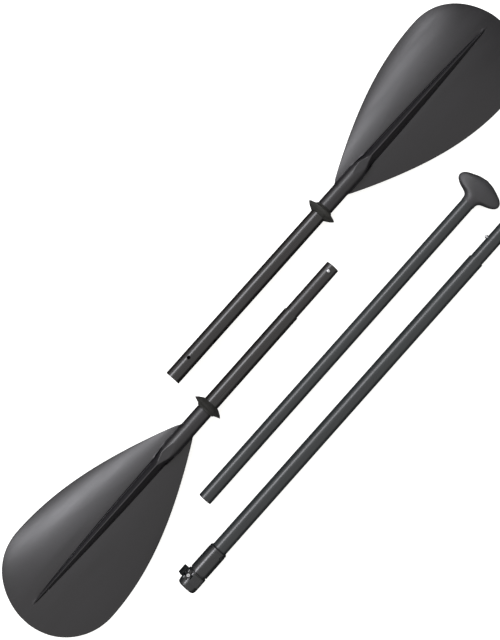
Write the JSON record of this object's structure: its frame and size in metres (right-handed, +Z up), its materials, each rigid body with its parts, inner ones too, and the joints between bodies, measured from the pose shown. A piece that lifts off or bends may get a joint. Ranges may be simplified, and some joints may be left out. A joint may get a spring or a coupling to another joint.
{
  "type": "kayak paddle",
  "caption": "Convertible kayak and stand-up paddle taken apart: two spooned blades on short shafts, a T-grip tube and an extension tube with a lever clamp.",
  "frame": {"origin": "bottom centre of the bounding box of the four sections as they lie on the floor", "axes": "+X along the shafts towards half A's blade tip, +Y across from the extension tube to half A, +Z up from the floor"},
  "size_m": [1.3806, 0.3873, 0.059],
  "materials": {
    "blade_plastic": "satin moulded charcoal nylon",
    "black_tube": "black anodised, drawn tube",
    "grey_tube": "dark grey painted tube",
    "ring_rubber": "moulded black rubber",
    "clamp_plastic": "moulded dark grey nylon",
    "grip_plastic": "moulded dark grey plastic",
    "steel": "bright stainless steel",
    "foam": "closed-cell foam"
  },
  "bodies": {
    "half_a": {"blade_a": "blade_plastic", "shaft_a": "black_tube", "float_plug_a": "foam"},
    "ring_a": {"drip_ring_a": "ring_rubber"},
    "half_b": {"blade_b": "blade_plastic", "shaft_b": "black_tube", "ferrule_b": "black_tube", "float_plug_b": "foam", "button_clip_b": "steel"},
    "ring_b": {"drip_ring_b": "ring_rubber"},
    "button_b": {"snap_button_b": "steel"},
    "handle": {"t_tube": "grey_tube", "t_tube_plug": "clamp_plastic", "t_grip": "grip_plastic"},
    "extension": {"extension_tube": "grey_tube", "extension_ferrule": "grey_tube", "button_clip_ext": "steel", "collar_sleeve": "clamp_plastic", "collar_rivet": "steel", "clamp_ring": "clamp_plastic", "clamp_screw": "steel", "clamp_nut": "steel", "lever_barrel": "steel"},
    "button_ext": {"snap_button_ext": "steel"},
    "lever": {"clamp_lever": "clamp_plastic"}
  },
  "joints": [
    {"name": "half_b_lift", "type": "slide", "parent": "half_a", "child": "half_b", "axis": [0, 0, 1], "range_m": [0, 0.15]},
    {"name": "handle_lift", "type": "slide", "parent": "half_a", "child": "handle", "axis": [0, 0, 1], "range_m": [0, 0.15]},
    {"name": "extension_lift", "type": "slide", "parent": "half_a", "child": "extension", "axis": [0, 0, 1], "range_m": [0, 0.15]},
    {"name": "ring_a_slide", "type": "slide", "parent": "half_a", "child": "ring_a", "axis": [-1, 0, 0], "range_m": [0, 0.38]},
    {"name": "ring_b_slide", "type": "slide", "parent": "half_b", "child": "ring_b", "axis": [1, 0, 0], "range_m": [0, 0.21]},
    {"name": "button_b_press", "type": "slide", "parent": "half_b", "child": "button_b", "axis": [0, 0, -1], "range_m": [0, 0.0044], "stiffness_N_per_m": 800, "springref_m": -0.002, "deforming": ["button_clip_b"]},
    {"name": "button_ext_press", "type": "slide", "parent": "extension", "child": "button_ext", "axis": [-0.007, -1, 0], "range_m": [0, 0.0044], "stiffness_N_per_m": 800, "springref_m": -0.002, "deforming": ["button_clip_ext"]},
    {"name": "clamp_lever_hinge", "type": "hinge", "parent": "extension", "child": "lever", "pos_m": [-0.44526, -0.16021, 0.03844], "axis": [-1, 0.007, 0.0049], "range_deg": [0, 130]}
  ]
}
